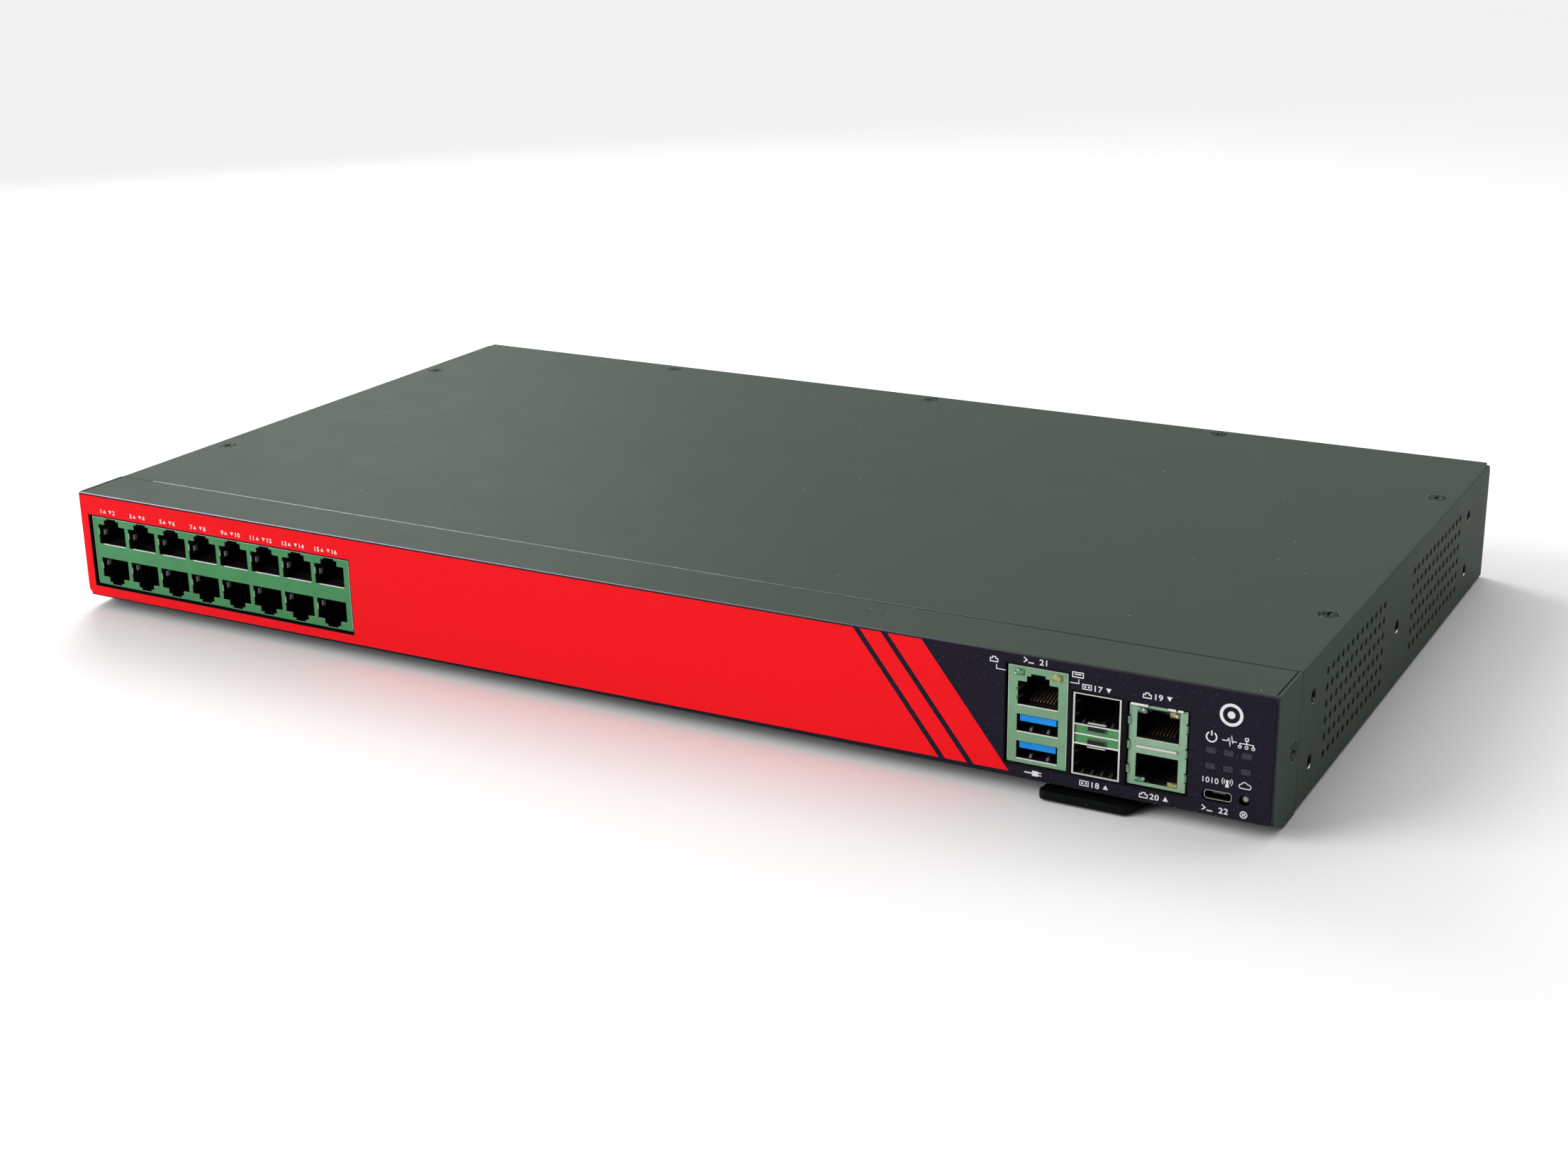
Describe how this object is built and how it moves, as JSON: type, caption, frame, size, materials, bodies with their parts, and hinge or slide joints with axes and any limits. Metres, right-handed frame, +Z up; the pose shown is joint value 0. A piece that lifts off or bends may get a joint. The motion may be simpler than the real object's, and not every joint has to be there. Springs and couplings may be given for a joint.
{
  "type": "network firewall appliance",
  "caption": "One-rack-unit network firewall appliance: grey-green steel case, red front label, stacked serial jacks, console, fibre and network ports, side vents and rear fans.",
  "frame": {"origin": "centre of the underside, on the surface that the appliance rests on", "axes": "+X along the front to the right as seen from the front, +Y from the front face to the back, +Z up"},
  "size_m": [0.438, 0.2676, 0.043],
  "materials": {
    "case_paint": "grey-green powder coat with a fine grain",
    "label_print": "printed overlay, red with a dark right end",
    "tinned_steel": "tinned steel",
    "cage_steel": "plated steel",
    "jack_plastic": "black moulded plastic",
    "contact_gold": "gold-plated wire",
    "usb_blue": "blue moulded plastic",
    "green_lens": "clear green lens",
    "amber_lens": "clear amber lens",
    "smoked_window": "smoked light pipe",
    "circuit_board": "green solder mask",
    "supply_board": "tan circuit board",
    "button_steel": "bare metal button",
    "switch_plastic": "black moulded plastic",
    "tag_plastic": "glossy black plastic",
    "guide_plastic": "black plastic",
    "black_screw": "blackened steel",
    "zinc_steel": "zinc-plated steel",
    "chip_package": "chip package",
    "heatsink_aluminium": "extruded aluminium",
    "battery_steel": "stainless steel cell",
    "transformer_tape": "yellow tape",
    "capacitor_sleeve": "dark sleeve",
    "inlet_plastic": "black moulded plastic",
    "nickel_blade": "nickel-plated blade",
    "port_brass": "gold-plated brass",
    "fan_plastic": "black glass-filled plastic"
  },
  "bodies": {
    "chassis": {"chassis_tray": "case_paint", "front_panel": "case_paint", "top_cover": "case_paint", "rear_panel": "case_paint", "front_label": "label_print", "serial_port_shield": "tinned_steel", "serial_port_housing": "jack_plastic", "serial_port_contacts": "contact_gold", "console_stack_shield": "tinned_steel", "console_stack_housing": "jack_plastic", "console_jack_contacts": "contact_gold", "usb_tongues": "usb_blue", "usb_contacts": "contact_gold", "network_port_shield": "tinned_steel", "network_port_housing": "jack_plastic", "network_port_contacts": "contact_gold", "green_port_lights": "green_lens", "amber_port_lights": "amber_lens", "fibre_cage": "cage_steel", "fibre_cage_web": "cage_steel", "fibre_host_sockets": "jack_plastic", "status_light_windows": "smoked_window", "status_light_board": "circuit_board", "micro_usb_shell": "tinned_steel", "micro_usb_tongue": "jack_plastic", "erase_switch": "switch_plastic", "tag_guide": "guide_plastic", "cover_screws": "black_screw", "side_screws": "black_screw", "ear_thread_inserts": "zinc_steel", "main_board": "circuit_board", "board_standoffs": "zinc_steel", "board_screws": "zinc_steel", "processor": "chip_package", "processor_heatsink": "heatsink_aluminium", "card_sockets": "switch_plastic", "memory_module": "circuit_board", "storage_module": "circuit_board", "cellular_modem": "circuit_board", "clock_battery_holder": "switch_plastic", "clock_battery": "battery_steel", "power_supply_tray": "zinc_steel", "power_supply_board": "supply_board", "transformer": "transformer_tape", "power_capacitors": "capacitor_sleeve", "power_heat_plate": "heatsink_aluminium", "mains_inlet": "inlet_plastic", "mains_inlet_blades": "nickel_blade", "antenna_ports": "port_brass", "antenna_port_cores": "port_brass", "antenna_port_nuts": "port_brass", "ground_stud": "zinc_steel", "ground_nut": "zinc_steel", "fan_frame_left": "fan_plastic", "fan_frame_right": "fan_plastic", "fan_screws": "black_screw"},
    "erase_button": {"erase_button": "button_steel"},
    "pull_out_tag": {"pull_out_tag": "tag_plastic"},
    "fan_rotor_left": {"fan_rotor_left": "fan_plastic"},
    "fan_rotor_right": {"fan_rotor_right": "fan_plastic"}
  },
  "joints": [
    {"name": "erase_press", "type": "slide", "parent": "chassis", "child": "erase_button", "axis": [0, 1, 0], "range_m": [0, 0.0005], "stiffness_N_per_m": 1500, "springref_m": -0.0005},
    {"name": "tag_slide", "type": "slide", "parent": "chassis", "child": "pull_out_tag", "axis": [0, -1, 0], "range_m": [0, 0.043]},
    {"name": "fan_left_spin", "type": "hinge", "parent": "chassis", "child": "fan_rotor_left", "pos_m": [0.044, 0.1145, 0.021], "axis": [0, 1, 0], "continuous": true},
    {"name": "fan_right_spin", "type": "hinge", "parent": "chassis", "child": "fan_rotor_right", "pos_m": [0.092, 0.1145, 0.021], "axis": [0, 1, 0], "continuous": true}
  ]
}
